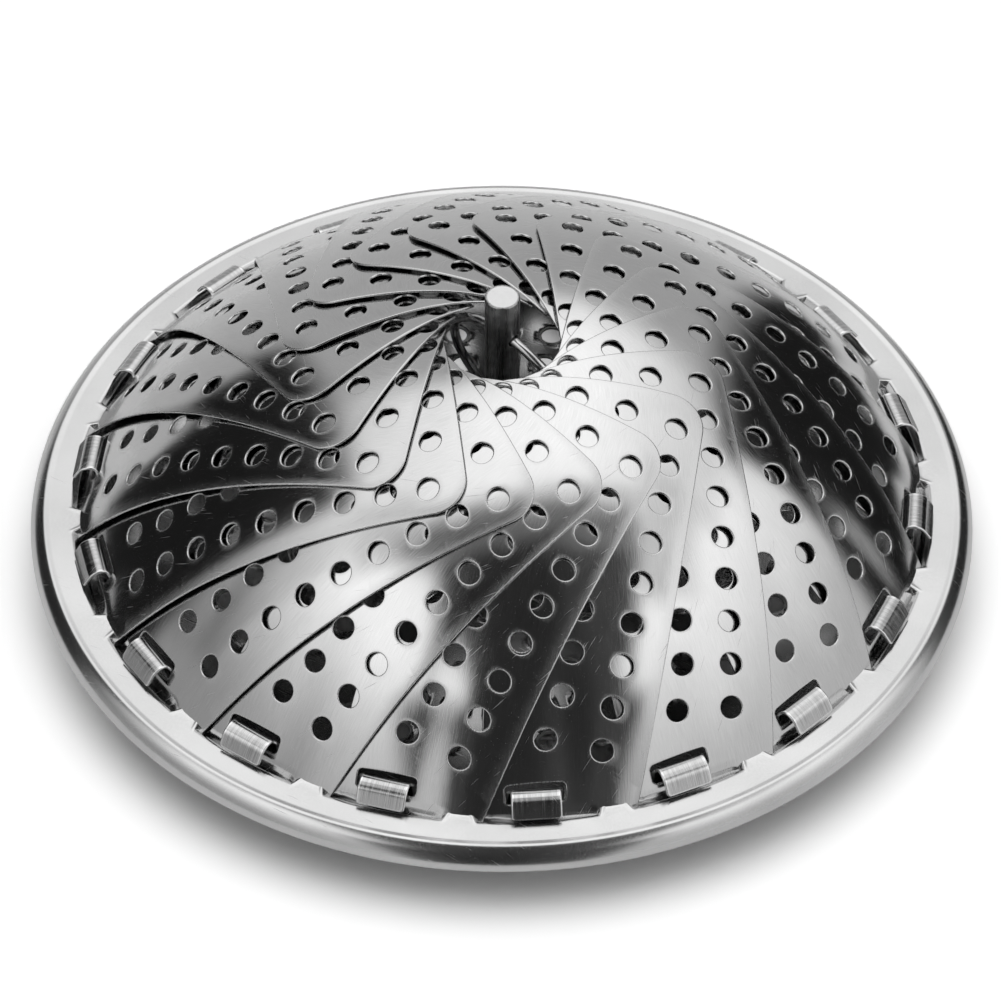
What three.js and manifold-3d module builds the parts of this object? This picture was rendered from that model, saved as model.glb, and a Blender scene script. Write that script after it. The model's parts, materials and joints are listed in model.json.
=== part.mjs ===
// A folding steamer insert of thin stainless sheet, closed as it is stored. A shallow dish with
// a rolled bead carries eighteen domed, perforated petals. Each petal swings on a curled tab of
// the dish, and every petal lies partly under its clockwise neighbour, like the blades of an
// iris. A post with a wire lift ring stands in the middle, and three legs fold under the dish.
// Millimetres, +Z up, origin on the surface that it stands on, under the post. Azimuths are in
// degrees from +X towards +Y.

import * as THREE from 'three';
import { mergeVertices } from 'three/addons/utils/BufferGeometryUtils.js';
import Module from 'manifold-3d';

const wasm = await Module();
wasm.setup();

// Whole object
const petalCount = 18;
const rimRadius = 75;
const frontHookAzimuth = 274.6;
const seatGap = 0.15;
const cutOverrun = 1;

// Dish
const dishSheet = 0.5;
const dishDepth = 8;
const plateInset = 9;
const plateHoleRadius = 1.7;
const plateRingInset = 11.4;
const plateRingPitch = 7;
const beadRadius = 1.7;
const beadTurn = 305;
const beadDrop = 2.1;
const landDrop = 0.6;
const wallClearance = 0.75;
const bumpWidth = 5.44;
const bumpDepth = 1.7;
const bumpFlare = 1.4;
const cornerRun = 0.6;
const apronClearance = 1.5;
const kneeShare = 0.3;

// Petals
const petalSheet = 0.4;
const petalGap = 0.22;
const domeMargin = 13.5;
const hingeInset = 9;
const irisRadius = 8.95;
const stripHalf = 1.6;
const windowLength = 3.5;
const windowHalf = 4.6;
const rootOverlap = 1.76;
const stepInset = 8.2;
const stepRise = 2.3;
const tipClockwise = 2.5;
const tipCounter = 31;
const tipSlope = 0.13;
const tipRound = 4.6;
const edgeLift = 1.4;
const petalHoleRadius = 1.7;
const rowPitch = 6.4;
const columnPitch = 8.2;
const firstRow = 7.65;
const holeMargin = 4.6;
const leanShare = 0.25;
const climbShare = 1.35;
const liftAlongShares = [0.68, 0.966];

// Tabs that hold the petals
const tabSheet = 0.5;
const tabSideGap = 0.45;
const tabArch = 1.9;
const tabShift = 0.4;
const tabRise = 1.3;

// Post, ring and the fastening under the plate
const postRadius = 2.62;
const postLift = 8.95;
const postChamfer = 0.45;
const collarRadius = 4.8;
const collarHeight = 0.9;
const stubRadius = 1.9;
const stubGap = 0.3;
const ringHoleLift = 1.35;
const ringHoleGap = 0.5;
const ringRadius = 13.5;
const ringWire = 0.75;
const ringAzimuth = 315.4;
const ringTilt = 15;
const washerRadius = 4.6;
const washerSheet = 0.6;
const nutRadius = 3.9;
const nutHeight = 2.6;

// Legs
const legCount = 3;
const legAzimuth = 34.6;
const legPivotRadius = 41;
const legReach = 26;
const legWidth = 7;
const legSheet = 1.2;
const barrelRadius = 1.5;
const pinRadius = 0.7;
const pinGap = 0.15;
const barrelGap = 0.3;
const earSheet = 0.8;
const earGap = 0.3;
const pinHead = 0.5;

// Facets
const holeSides = 6;
const hexSides = 6;
const wireSides = 6;
const boreSides = 10;
const roundSides = 20;
const ringSides = 30;

// Heights over the standing surface: the folded legs set the underside of the plate
const deg = THREE.MathUtils.degToRad;
const step = (2 * Math.PI) / petalCount;
const pivotHeight = barrelRadius + seatGap;
const plateUnder = pivotHeight + barrelRadius + barrelGap + earSheet + seatGap;
const plateMiddle = plateUnder + dishSheet / 2;
const plateTop = plateUnder + dishSheet;
const hingeHeight = plateTop + dishDepth;

// Petal surface: a spherical dome about the post axis, from the hinge circle to the iris. Its
// radius is the hinge circle's and a margin, which sets how steep the petals start.
const hingeRadius = rimRadius - hingeInset;
const domeRadius = hingeRadius + domeMargin;
const hingePitch = step * hingeRadius;
const hingeSlope = Math.asin(hingeRadius / domeRadius);
const domeDrop = domeRadius * Math.cos(hingeSlope);
const petalLength = domeRadius * (hingeSlope - Math.asin(irisRadius / domeRadius));
const irisRise = Math.sqrt(domeRadius ** 2 - irisRadius ** 2) - domeDrop;
const rootClockwise = hingePitch - stepInset - bumpWidth;
const rootCounter = hingePitch - rootClockwise + rootOverlap;

// Finishes
const mirrorSteel = new THREE.MeshStandardMaterial({ color: 0xc9cbcd, roughness: 0.16, metalness: 1 });
const brushedSteel = new THREE.MeshStandardMaterial({ color: 0xb9bbbd, roughness: 0.3, metalness: 1 });
const wireSteel = new THREE.MeshStandardMaterial({ color: 0xa9abae, roughness: 0.24, metalness: 1 });
const fixingSteel = new THREE.MeshStandardMaterial({ color: 0x9fa1a4, roughness: 0.36, metalness: 1 });

// A sheet from flat panels. Each vertex is a point on the middle of the sheet with the normal
// there. A panel is an outline of corners, with or without a hole, and a corner is the number
// of its vertex and its place in the flat pattern.
function sheetSolid(vertices, panels, thickness) {
  const triangles = [];
  for (const { outline, hole = [] } of panels) {
    const flats = (corners) => corners.map(({ flat }) => flat);
    const all = [...outline, ...hole];
    const holes = hole.length ? [flats(hole)] : [];
    for (const face of THREE.ShapeUtils.triangulateShape(flats(outline), holes)) {
      const corners = face.map((k) => all[k]);
      const ids = corners.map(({ id }) => id);
      triangles.push(THREE.ShapeUtils.area(flats(corners)) < 0 ? ids.reverse() : ids);
    }
  }
  const edges = new Set(triangles.flatMap(([a, b, c]) => [`${a} ${b}`, `${b} ${c}`, `${c} ${a}`]));
  const count = vertices.length;
  const index = [];
  for (const [a, b, c] of triangles) {
    index.push(a, b, c, a + count, c + count, b + count);
  }
  for (const edge of edges) {
    const [a, b] = edge.split(' ').map(Number);
    if (!edges.has(`${b} ${a}`)) {
      index.push(a, a + count, b + count, a, b + count, b);
    }
  }
  const offset = (side) => vertices.flatMap(({ point, normal }) =>
    point.clone().addScaledVector(normal, (side * thickness) / 2).toArray());
  const geometry = new THREE.BufferGeometry();
  geometry.setAttribute('position', new THREE.Float32BufferAttribute([...offset(1), ...offset(-1)], 3));
  geometry.setIndex(index);
  return geometry;
}

// The corners of a round hole in the flat pattern
function holeCorners(centre, radius) {
  return Array.from({ length: holeSides }, (_, k) => {
    const angle = (2 * Math.PI * (k + 0.5)) / holeSides;
    return new THREE.Vector2(centre.x + radius * Math.cos(angle), centre.y + radius * Math.sin(angle));
  });
}

// A round hole through an extruded shape
function bore(radius) {
  return new THREE.Path(Array.from({ length: boreSides }, (_, k) =>
    new THREE.Vector2(radius, 0).rotateAround(new THREE.Vector2(), (-2 * Math.PI * k) / boreSides)));
}

// Join and cut closed meshes
function toSolid(geometry) {
  const bare = geometry.clone();
  for (const name of ['normal', 'uv']) {
    bare.deleteAttribute(name);
  }
  const merged = mergeVertices(bare);
  return new wasm.Manifold(new wasm.Mesh({
    numProp: 3,
    vertProperties: new Float32Array(merged.attributes.position.array),
    triVerts: new Uint32Array(merged.index.array),
  }));
}

function toGeometry(solid) {
  const { vertProperties, triVerts } = solid.getMesh();
  const geometry = new THREE.BufferGeometry();
  geometry.setAttribute('position', new THREE.BufferAttribute(vertProperties, 3));
  geometry.setIndex(new THREE.BufferAttribute(triVerts, 1));
  return geometry;
}

// A slow climb with the azimuth lays each petal above the next, and the counterclockwise root
// edge is raised a little more, so that the neighbours also pass each other as they swing open
const climb = (climbShare * (petalSheet + petalGap)) / step;
const liftAcross = [stripHalf, rootCounter];
const liftAlong = liftAlongShares.map((share) => share * hingeRadius);

function petalHeight(across, outward) {
  const dome = Math.sqrt(domeRadius ** 2 - across ** 2 - outward ** 2) - domeDrop;
  const lift = THREE.MathUtils.smoothstep(across, ...liftAcross)
    * THREE.MathUtils.smoothstep(outward, ...liftAlong);
  return dome + climb * Math.atan2(across, outward) + edgeLift * lift;
}

// Flat petal pattern: across is the distance to the counterclockwise side of the hook, and
// along is the distance from the hinge axis towards the post, measured on the sheet.
function petalVertex(across, along) {
  const outward = domeRadius * Math.sin(hingeSlope - along / domeRadius);
  const probe = petalSheet / 8;
  const slopeAcross = (petalHeight(across + probe, outward) - petalHeight(across - probe, outward))
    / (2 * probe);
  const slopeOutward = (petalHeight(across, outward + probe) - petalHeight(across, outward - probe))
    / (2 * probe);
  return {
    point: new THREE.Vector3(outward - hingeRadius, across, petalHeight(across, outward)),
    normal: new THREE.Vector3(-slopeOutward, -slopeAcross, 1).normalize(),
  };
}

function petalGeometry() {
  const vertices = [];
  const known = new Map();
  const corner = (across, along) => {
    const key = `${across.toFixed(4)} ${along.toFixed(4)}`;
    if (!known.has(key)) {
      known.set(key, vertices.length);
      vertices.push(petalVertex(across, along));
    }
    return { id: known.get(key), flat: new THREE.Vector2(across, along) };
  };

  // Long edges and the lines between the columns of holes
  const lerp = THREE.MathUtils.lerp;
  const clockwiseEdge = (along) => lerp(-rootClockwise, -tipClockwise, along / petalLength);
  const counterEdge = (along) => lerp(rootCounter, tipCounter, along / petalLength);
  const firstColumn = (along) => counterEdge(along) - holeMargin;
  const betweenColumns = (along) => firstColumn(along) - columnPitch / 2;
  const afterColumns = (along) => betweenColumns(along) - columnPitch;
  const lines = [
    clockwiseEdge,
    (along) => (clockwiseEdge(along) + afterColumns(along)) / 2,
    afterColumns,
    betweenColumns,
    counterEdge,
  ];

  // Rows lean back towards the clockwise side
  const rowCount = Math.floor((petalLength - firstRow) / rowPitch);
  const tipAlong = (across) => petalLength - tipSlope * across;
  const crossing = (line, row) => {
    const middle = firstRow - rowPitch / 2 + row * rowPitch;
    const rough = middle + leanShare * (firstColumn(middle) - line(middle));
    const across = line(rough);
    const along = row === rowCount ? tipAlong(across) : rough;
    return [row === rowCount ? line(along) : across, along];
  };
  const grid = (line, row) => corner(...crossing(lines[line], row));

  // Rounded tip corner
  const [cornerAcross, cornerAlong] = crossing(counterEdge, rowCount);
  const roundSteps = 4;
  const edgeAngle = Math.atan2(tipCounter - rootCounter, petalLength);
  const turn = Math.PI / 2 + Math.atan(tipSlope) + edgeAngle;
  const setback = tipRound / Math.tan((Math.PI - turn) / 2);
  const centre = new THREE.Vector2(
    cornerAcross - setback * Math.sin(edgeAngle) - tipRound * Math.cos(edgeAngle),
    cornerAlong - setback * Math.cos(edgeAngle) + tipRound * Math.sin(edgeAngle),
  );
  const roundedTip = Array.from({ length: roundSteps + 1 }, (_, k) => {
    const angle = -edgeAngle + (turn * k) / roundSteps;
    return corner(centre.x + tipRound * Math.cos(angle), centre.y + tipRound * Math.sin(angle));
  });

  // Cells, with a hole in each cell of the two outer columns
  const panels = [];
  for (let row = 0; row < rowCount; row += 1) {
    for (let column = 0; column < lines.length - 1; column += 1) {
      const isTip = row === rowCount - 1 && column === lines.length - 2;
      const far = isTip ? roundedTip : [grid(column + 1, row + 1)];
      const outline = [grid(column, row), grid(column + 1, row), ...far, grid(column, row + 1)];
      let hole = [];
      if (column >= 2) {
        const back = column === 2 ? 1 : 0;
        const along = firstRow + row * rowPitch + back * leanShare * columnPitch;
        const near = row === 0 ? back * holeMargin * leanShare : 0;
        const across = firstColumn(along) - back * columnPitch - near;
        hole = holeCorners(new THREE.Vector2(across, along), petalHoleRadius)
          .map((place) => corner(place.x, place.y));
      }
      panels.push({ outline, hole });
    }
  }

  // Root with the window for the hook and the step on its counterclockwise side
  const root = [
    [-rootClockwise, -stripHalf], [-windowHalf, -stripHalf], [windowHalf, -stripHalf],
    [stepInset, -stripHalf], [stepInset, stepRise - stripHalf],
    [(stepInset + rootCounter) / 2, stepRise - stripHalf], [rootCounter, stepRise - stripHalf],
  ].map(([across, along]) => corner(across, along));
  const firstRowLine = lines.map((_, line) => grid(line, 0)).reverse();
  const window = [
    [-windowHalf, stripHalf], [-windowHalf, stripHalf + windowLength],
    [windowHalf, stripHalf + windowLength], [windowHalf, stripHalf],
  ].map(([across, along]) => corner(across, along));
  panels.push({ outline: [...root, ...firstRowLine], hole: window });
  return sheetSolid(vertices, panels, petalSheet);
}

// Dish section, from the post hole outwards: plate, apron, wall, land and the rolled bead.
// Heights are taken from the middle of the plate.
const hingeOverPlate = hingeHeight - plateMiddle;
const landHeight = hingeOverPlate - landDrop - dishSheet / 2;
const wallRadius = hingeRadius + stripHalf + wallClearance;
const apronRadius = wallRadius - wallClearance;
const apronHeight = hingeOverPlate - 2 * stripHalf - apronClearance;
const plateRadius = hingeRadius - plateInset;
const kneeRadius = (plateRadius + apronRadius) / 2;
const kneeHeight = kneeShare * apronHeight;
const beadMiddle = beadRadius - dishSheet / 2;
const beadCentre = [rimRadius - beadRadius, hingeOverPlate - beadDrop];
const beadRows = 7;
const beadStart = Math.asin((landHeight - beadCentre[1]) / beadMiddle);
const plateRingRadius = plateRadius - plateRingInset;
const ringEdges = [-3, -1, 1].map((halves) => plateRingRadius + (halves * plateRingPitch) / 2);
const bumpFootShare = 0.4;
const longestMitre = 2;

function dishSection() {
  const rows = [
    { at: [stubRadius + stubGap, 0], samples: 1 },
    { at: [ringEdges[0], 0], samples: 2 },
    { at: [ringEdges[1], 0], samples: 2, holesBelow: true },
    { at: [ringEdges[2], 0], samples: 2, holesBelow: true },
    { at: [plateRadius, 0], samples: 2 },
    { at: [kneeRadius, kneeHeight], samples: 2 },
    { at: [apronRadius, apronHeight], samples: 5 },
    { at: [wallRadius, apronHeight + cornerRun], samples: 5, bump: bumpFootShare },
    { at: [wallRadius, landHeight - cornerRun], samples: 5, bump: 1 },
    { at: [wallRadius + cornerRun, landHeight], samples: 5, bump: 1 },
  ];
  for (let k = 0; k < beadRows; k += 1) {
    const angle = Math.PI - beadStart - (deg(beadTurn) * k) / (beadRows - 1);
    rows.push({
      at: [beadCentre[0] + beadMiddle * Math.cos(angle), beadCentre[1] + beadMiddle * Math.sin(angle)],
      samples: 3,
    });
  }
  const points = rows.map(({ at }) => new THREE.Vector2(...at));
  return rows.map((row, k) => {
    const before = points[Math.max(k - 1, 0)];
    const after = points[Math.min(k + 1, rows.length - 1)];
    const into = points[k].clone().sub(before).normalize();
    const out = after.clone().sub(points[k]).normalize();
    const along = into.clone().add(out).normalize();
    const mitre = Math.min(1 / along.dot(k ? into : out), longestMitre);
    return { ...row, normal: new THREE.Vector2(-along.y, along.x).multiplyScalar(mitre) };
  });
}

// Samples in one petal's sector, as shares of the sector: the outer rows have the bump that is
// pressed in between the step of one petal and the clockwise corner of the next
const bumpSpans = [stepInset, stepInset + bumpFlare];
const bumpEnds = [hingePitch - rootClockwise - bumpFlare, hingePitch - rootClockwise];
const sampleShares = {
  1: [0],
  2: [0, 1 / 2],
  3: [0, 1 / 3, 2 / 3],
  5: [0, ...[...bumpSpans, ...bumpEnds].map((place) => place / hingePitch)],
};
const bumpShares = [0, 0, 1, 1, 0];

function dishGeometry() {
  const section = dishSection();
  const vertices = [];
  const add = (row, sector, sample) => {
    const { at: [radius, height], normal, samples, bump = 0 } = section[row];
    const share = sampleShares[samples][sample];
    const pressed = samples === 5 ? bump * bumpShares[sample] * bumpDepth : 0;
    const turn = (sector + share) * step;
    const place = new THREE.Vector2(radius - pressed, 0).rotateAround(new THREE.Vector2(), turn);
    vertices.push({
      point: new THREE.Vector3(place.x, place.y, height),
      normal: new THREE.Vector3(normal.x * Math.cos(turn), normal.x * Math.sin(turn), normal.y),
    });
    return vertices.length - 1;
  };
  const rings = section.map(({ samples }, row) => Array.from({ length: petalCount * samples },
    (_, k) => add(row, Math.floor(k / samples), k % samples)));

  // Each panel is laid out flat, row distance against the bearing times the rim radius
  const panels = [];
  for (let row = 1; row < section.length; row += 1) {
    const inner = section[row - 1].samples;
    const outer = section[row].samples;
    const cells = inner === outer ? inner : 1;
    for (let sector = 0; sector < petalCount; sector += 1) {
      for (let cell = 0; cell < cells; cell += 1) {
        const run = (at, samples, level) => {
          const width = samples / cells;
          const first = sector * samples + cell * width;
          return Array.from({ length: width + 1 }, (_, k) => {
            const share = sampleShares[samples][(first + k) % samples];
            const turn = (Math.floor((first + k) / samples) + share) * step;
            return {
              id: rings[at][(first + k) % rings[at].length],
              flat: new THREE.Vector2(level, turn * rimRadius),
            };
          });
        };
        const [near, far] = [section[row - 1].at[0], section[row].at[0]];
        const low = run(row - 1, inner, 0);
        const high = run(row, outer, rimRadius);
        let hole = [];
        if (section[row].holesBelow) {
          const turn = (sector + (2 * cell + 1) / (2 * cells)) * step;
          const middle = new THREE.Vector2((near + far) / 2, 0);
          hole = holeCorners(middle, plateHoleRadius).map(({ x, y }) => {
            const bearing = turn + y / middle.x;
            vertices.push({
              point: new THREE.Vector3(x * Math.cos(bearing), x * Math.sin(bearing), 0),
              normal: new THREE.Vector3(0, 0, 1),
            });
            const level = (rimRadius * (x - near)) / (far - near);
            return { id: vertices.length - 1, flat: new THREE.Vector2(level, bearing * rimRadius) };
          });
        }
        panels.push({ outline: [...low.reverse(), ...high], hole });
      }
    }
  }
  return sheetSolid(vertices, panels, dishSheet);
}

// Curled tab, drawn in the plane across the hinge axis: up the stem and over the petal's strip
function tabGeometry() {
  const arcSteps = 6;
  const stemRadius = hingeRadius - tabShift - tabArch;
  const climbed = (stemRadius - kneeRadius) / (apronRadius - kneeRadius);
  const stemFoot = THREE.MathUtils.lerp(kneeHeight, apronHeight, climbed) - hingeOverPlate;
  const side = (radius) => Array.from({ length: arcSteps + 1 }, (_, k) => {
    const angle = Math.PI - (Math.PI * k) / arcSteps;
    return [-tabShift + radius * Math.cos(angle), tabRise + radius * Math.sin(angle)];
  });
  const outer = side(tabArch + tabSheet / 2);
  const inner = side(tabArch - tabSheet / 2).reverse();
  const outline = [[outer[0][0], stemFoot], ...outer, ...inner, [inner[arcSteps][0], stemFoot]];
  const shape = new THREE.Shape(outline.map(([out, up]) => new THREE.Vector2(out, up)));
  const width = 2 * (windowHalf - tabSideGap);
  const tab = new THREE.ExtrudeGeometry(shape, { depth: width, bevelEnabled: false, steps: 1 });
  tab.translate(0, 0, -width / 2);
  tab.rotateX(Math.PI / 2);
  return tab.translate(hingeRadius, 0, hingeOverPlate);
}

function dishWithTabs() {
  let dish = toSolid(dishGeometry());
  for (let k = 0; k < petalCount; k += 1) {
    dish = dish.add(toSolid(tabGeometry().rotateZ(k * step)));
  }
  return toGeometry(dish);
}

// Post: a shaft with a collar on the plate and a stub through it, and a hole for the ring
const ringHoleHeight = hingeHeight + irisRise + ringHoleLift;

function postGeometry() {
  const top = hingeHeight + irisRise + postLift;
  const foot = plateUnder - 2 * seatGap - washerSheet - nutHeight;
  const collarFoot = plateTop + seatGap;
  const profile = [
    [0, foot], [stubRadius, foot], [stubRadius, collarFoot], [collarRadius, collarFoot],
    [collarRadius, collarFoot + collarHeight], [postRadius, collarFoot + collarHeight],
    [postRadius, top - postChamfer], [postRadius - postChamfer, top], [0, top],
  ].map(([radius, height]) => new THREE.Vector2(radius, height));
  const shaft = new THREE.LatheGeometry(profile, roundSides);
  shaft.rotateX(Math.PI / 2);
  const drillRadius = ringWire + ringHoleGap;
  const drillLength = 2 * (postRadius + cutOverrun);
  const drill = new THREE.CylinderGeometry(drillRadius, drillRadius, drillLength, boreSides);
  drill.rotateZ(Math.PI / 2);
  drill.rotateZ(deg(ringAzimuth));
  drill.translate(0, 0, ringHoleHeight);
  return toGeometry(toSolid(shaft).subtract(toSolid(drill)));
}

function washerGeometry() {
  const inside = stubRadius + stubGap;
  const high = plateUnder - seatGap;
  const low = high - washerSheet;
  const profile = [[inside, low], [washerRadius, low], [washerRadius, high], [inside, high], [inside, low]]
    .map(([radius, height]) => new THREE.Vector2(radius, height));
  return new THREE.LatheGeometry(profile, roundSides).rotateX(Math.PI / 2);
}

function nutGeometry() {
  const outline = Array.from({ length: hexSides }, (_, k) =>
    new THREE.Vector2(nutRadius, 0).rotateAround(new THREE.Vector2(), (2 * Math.PI * k) / hexSides));
  const shape = new THREE.Shape(outline);
  shape.holes.push(bore(stubRadius + stubGap));
  const nut = new THREE.ExtrudeGeometry(shape, { depth: nutHeight, bevelEnabled: false });
  return nut.translate(0, 0, plateUnder - 2 * seatGap - washerSheet - nutHeight);
}

// Ring: closed wire hanging in the post's cross hole, leaning away from the post.
// Its own origin is on the axis of the hole.
function ringGeometry() {
  const ring = new THREE.TorusGeometry(ringRadius, ringWire, wireSides, ringSides);
  ring.translate(0, -ringRadius, 0);
  ring.rotateX(Math.PI / 2 + deg(ringTilt));
  return ring;
}

// Leg: a strip with a rolled barrel at its pivot and a foot that is turned up at its end.
// Drawn folded, with its own origin on the pivot axis, reaching towards the post.
function legGeometry() {
  const under = -pivotHeight;
  const top = under + legSheet;
  const arcSteps = 8;
  const start = Math.PI - Math.asin(top / barrelRadius);
  const barrel = Array.from({ length: arcSteps + 1 }, (_, k) => {
    const angle = THREE.MathUtils.lerp(-Math.PI / 2, start, k / arcSteps);
    return [barrelRadius * Math.cos(angle), barrelRadius * Math.sin(angle)];
  });
  const outline = [
    ...barrel, [-legReach + 2 * legSheet, top], [-legReach + legSheet, top + legSheet],
    [-legReach, top + legSheet / 2], [-legReach + legSheet / 2, under], [-barrelRadius, under],
  ];
  const shape = new THREE.Shape(outline.map(([out, up]) => new THREE.Vector2(out, up)));
  shape.holes.push(bore(pinRadius + pinGap));
  const leg = new THREE.ExtrudeGeometry(shape, { depth: legWidth, bevelEnabled: false });
  return leg.translate(0, 0, -legWidth / 2).rotateX(Math.PI / 2);
}

// Bracket: a riveted plate under the dish with an ear on each side of the leg
const earInside = legWidth / 2 + earGap;

function bracketGeometry() {
  const high = plateUnder - seatGap - pivotHeight;
  const earHalf = 2 * barrelRadius;
  const base = new THREE.BoxGeometry(2 * earHalf, 2 * (earInside + earSheet), earSheet);
  base.translate(0, 0, high - earSheet / 2);
  let bracket = toSolid(base);
  const shape = new THREE.Shape([
    [-earHalf, high], [-barrelRadius, -pivotHeight], [barrelRadius, -pivotHeight], [earHalf, high],
  ].map(([out, up]) => new THREE.Vector2(out, up)));
  shape.holes.push(bore(pinRadius + pinGap));
  for (const side of [-1, 1]) {
    const ear = new THREE.ExtrudeGeometry(shape, { depth: earSheet, bevelEnabled: false });
    ear.translate(0, 0, side * (earInside + earSheet / 2) - earSheet / 2).rotateX(Math.PI / 2);
    bracket = bracket.add(toSolid(ear));
  }
  return toGeometry(bracket);
}

function pinGeometry() {
  const half = earInside + earSheet + pinGap;
  const headRadius = pinRadius + 2 * pinGap;
  const profile = [
    [0, -half - pinHead], [headRadius, -half - pinHead], [headRadius, -half], [pinRadius, -half],
    [pinRadius, half], [headRadius, half], [headRadius, half + pinHead], [0, half + pinHead],
  ].map(([radius, along]) => new THREE.Vector2(radius, along));
  return new THREE.LatheGeometry(profile, boreSides);
}

// Assembly
const steamer = new THREE.Group();

function addPiece(name, geometry, material, parent, place = [0, 0, 0]) {
  const piece = new THREE.Mesh(geometry, material);
  piece.name = name;
  piece.position.set(...place);
  parent.add(piece);
  return piece;
}

const turned = new THREE.Group();
turned.rotation.z = deg(frontHookAzimuth);
steamer.add(turned);
addPiece('base_dish', dishWithTabs(), brushedSteel, turned, [0, 0, plateMiddle]);

const petal = petalGeometry();
for (let k = 0; k < petalCount; k += 1) {
  const arm = new THREE.Group();
  arm.rotation.z = k * step;
  turned.add(arm);
  const name = `petal_${String(k + 1).padStart(2, '0')}`;
  addPiece(name, petal, mirrorSteel, arm, [hingeRadius, 0, hingeHeight]);
}

addPiece('lift_post', postGeometry(), brushedSteel, steamer);
addPiece('post_washer', washerGeometry(), fixingSteel, steamer);
addPiece('post_nut', nutGeometry(), fixingSteel, steamer);
const ring = addPiece('lift_ring', ringGeometry(), wireSteel, steamer, [0, 0, ringHoleHeight]);
ring.rotation.z = deg(ringAzimuth);

for (let k = 0; k < legCount; k += 1) {
  const arm = new THREE.Group();
  arm.rotation.z = deg(legAzimuth) + (2 * Math.PI * k) / legCount;
  steamer.add(arm);
  const pivot = [legPivotRadius, 0, pivotHeight];
  addPiece(`leg_${k + 1}`, legGeometry(), brushedSteel, arm, pivot);
  addPiece(`leg_bracket_${k + 1}`, bracketGeometry(), fixingSteel, arm, pivot);
  addPiece(`leg_pin_${k + 1}`, pinGeometry(), fixingSteel, arm, pivot);
}

export default steamer;
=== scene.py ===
# Folding steamer insert of polished stainless sheet, closed: a dish with a rolled bead, eighteen
# perforated petals on curled hooks, a post with a wire ring and three legs folded underneath.
import json
import math
import bpy
import numpy as np
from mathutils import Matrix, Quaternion, Vector

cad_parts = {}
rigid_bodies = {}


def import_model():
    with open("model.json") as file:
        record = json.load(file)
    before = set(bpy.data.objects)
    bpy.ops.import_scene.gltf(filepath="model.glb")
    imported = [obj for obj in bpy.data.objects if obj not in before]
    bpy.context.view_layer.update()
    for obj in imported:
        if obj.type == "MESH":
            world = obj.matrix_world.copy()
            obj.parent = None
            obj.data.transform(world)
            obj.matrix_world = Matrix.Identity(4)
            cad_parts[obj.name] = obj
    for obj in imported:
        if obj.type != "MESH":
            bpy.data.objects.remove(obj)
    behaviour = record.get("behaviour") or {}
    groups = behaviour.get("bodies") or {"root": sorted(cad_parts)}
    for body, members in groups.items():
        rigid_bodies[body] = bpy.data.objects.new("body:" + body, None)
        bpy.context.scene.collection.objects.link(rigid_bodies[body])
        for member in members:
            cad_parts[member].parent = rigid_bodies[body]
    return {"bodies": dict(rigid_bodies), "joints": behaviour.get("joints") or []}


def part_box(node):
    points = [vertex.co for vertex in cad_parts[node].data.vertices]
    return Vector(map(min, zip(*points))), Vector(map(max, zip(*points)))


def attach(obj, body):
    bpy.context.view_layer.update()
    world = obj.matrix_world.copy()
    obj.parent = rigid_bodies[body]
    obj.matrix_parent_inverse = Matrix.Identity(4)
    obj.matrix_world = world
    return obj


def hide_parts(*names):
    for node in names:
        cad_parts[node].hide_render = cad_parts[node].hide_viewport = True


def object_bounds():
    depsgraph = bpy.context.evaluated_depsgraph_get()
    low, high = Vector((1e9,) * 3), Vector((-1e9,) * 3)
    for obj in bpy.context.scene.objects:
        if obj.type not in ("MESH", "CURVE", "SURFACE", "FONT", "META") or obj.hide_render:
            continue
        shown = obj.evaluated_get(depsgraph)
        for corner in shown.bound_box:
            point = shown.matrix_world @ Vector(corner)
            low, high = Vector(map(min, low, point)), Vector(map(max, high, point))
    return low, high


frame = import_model()
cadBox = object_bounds()
mm = 0.001
cm = 10
print("frame loaded")

# Camera

camera = {
    "target": (0, 0, 11.9),
    "distance": 776,
    "elevation": 45.92,
    "roll": 0.19,
    "lens": 175.5,
    "sensor": 36,
    "shift": -0.00125,
}


# The camera stands in front, back from its target along a line that rises at the elevation
def placeCamera(settings):
    data = bpy.data.cameras.new("camera")
    data.lens = settings["lens"]
    data.sensor_width = settings["sensor"]
    data.shift_x = settings["shift"]
    rise = math.radians(settings["elevation"])
    back = Vector((0, -math.cos(rise), math.sin(rise)))
    holder = bpy.data.objects.new("camera", data)
    holder.location = (Vector(settings["target"]) + back * settings["distance"]) * mm
    holder.rotation_mode = "QUATERNION"
    turn = Quaternion((0, 0, 1), math.radians(settings["roll"]))
    holder.rotation_quaternion = back.to_track_quat("Z", "Y") @ turn
    bpy.context.scene.collection.objects.link(holder)
    bpy.context.scene.camera = holder


placeCamera(camera)

# What the frame fixes: the hinge circle, its height, and where each petal and leg is hung

joints = {joint["name"]: joint for joint in frame["joints"]}


# A place's angle about the upright axis: the arc tangent of y over x
def bearing(place):
    return math.atan2(place[1], place[0])


firstHinge = joints["petal_01_fold"]["pos_m"]
hingeRadius = round(math.hypot(firstHinge[0], firstHinge[1]) / mm, 2)
hingeHeight = round(firstHinge[2] / mm, 2)
petalBodies = sorted(name for name in frame["bodies"] if name.startswith("petal_"))
petalCount = len(petalBodies)
sector = 2 * math.pi / petalCount
frontBearing = bearing(firstHinge)
hingePitch = sector * hingeRadius


# Flat sheets

# Smooth step: 3 s squared minus 2 s cubed, with s the share of the way from low to high
def smooth(value, low, high):
    share = np.clip((value - low) / (high - low), 0, 1)
    return share * share * (3 - 2 * share)


# Points on a straight line, evenly spaced, without the last
def run(start, end, steps):
    share = np.arange(steps)[:, None] / steps
    return np.asarray(start) + (np.asarray(end, float) - np.asarray(start)) * share


# Arrays of matching shapes side by side, as points
def asPoints(*parts):
    return np.stack(np.broadcast_arrays(*parts), -1)


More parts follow.
